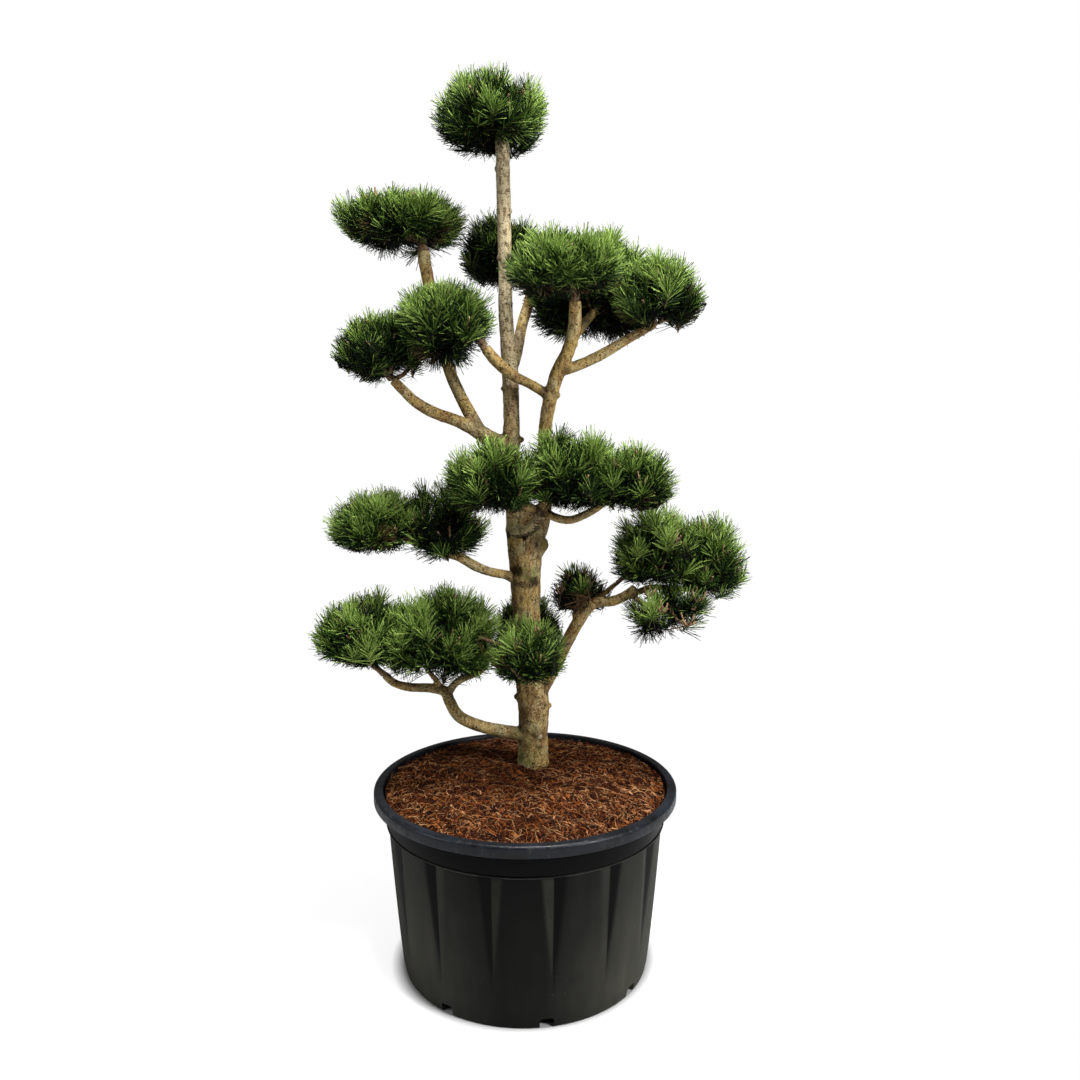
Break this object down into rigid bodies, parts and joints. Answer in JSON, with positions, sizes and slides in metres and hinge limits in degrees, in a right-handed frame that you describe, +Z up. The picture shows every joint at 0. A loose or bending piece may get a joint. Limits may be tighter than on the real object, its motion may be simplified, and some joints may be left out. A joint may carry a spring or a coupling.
{
  "type": "potted cloud-pruned lodgepole pine",
  "caption": "Lodgepole pine pruned into clouds of needles on bare curving boughs, standing in a round black plastic nursery pot filled with mulch.",
  "frame": {"origin": "middle of the pot's flat underside", "axes": "+Z up, +X to the right of the plant's front, +Y to its back"},
  "size_m": [1.3134, 0.922, 2.6734],
  "materials": {
    "pot_plastic": "satin black moulded plastic with faint dust and scuffs",
    "soil_mulch": "dull reddish brown coconut fibre with tan strands and dark gaps",
    "bark": "dull grey-tan flaky bark with dark speckled scars and a little green algae",
    "needles": "slightly glossy needles, yellowish green on top, dark bluish green below"
  },
  "bodies": {
    "root": {"pot": "pot_plastic", "soil": "soil_mulch", "trunk": "bark", "second_stem": "bark", "left_bough": "bark", "upper_left_bough": "bark", "crossing_bough": "bark", "rear_bough": "bark", "right_bough": "bark", "rear_right_bough": "bark", "front_bough": "bark", "front_left_bough": "bark", "front_right_bough": "bark", "middle_left_bough": "bark", "middle_left_inner_bough": "bark", "lower_right_bough": "bark", "lower_right_inner_bough": "bark", "lower_right_upper_bough": "bark", "lower_right_outer_bough": "bark", "lower_right_hanging_bough": "bark", "lower_left_bough": "bark", "lower_left_inner_bough": "bark", "lower_left_middle_bough": "bark", "low_rear_bough": "bark", "top_mass": "needles", "upper_left_mass": "needles", "upper_rear_mass": "needles", "mid_left_outer_mass": "needles", "mid_left_inner_mass": "needles", "mid_front_mass": "needles", "right_rear_mass": "needles", "right_outer_mass": "needles", "front_left_mass": "needles", "front_centre_mass": "needles", "front_right_mass": "needles", "middle_left_outer_mass": "needles", "middle_left_inner_mass": "needles", "lower_right_inner_mass": "needles", "lower_right_upper_mass": "needles", "lower_right_outer_mass": "needles", "lower_right_hanging_mass": "needles", "lower_left_outer_mass": "needles", "lower_left_middle_mass": "needles", "lower_left_inner_mass": "needles", "low_rear_mass": "needles"}
  },
  "joints": []
}
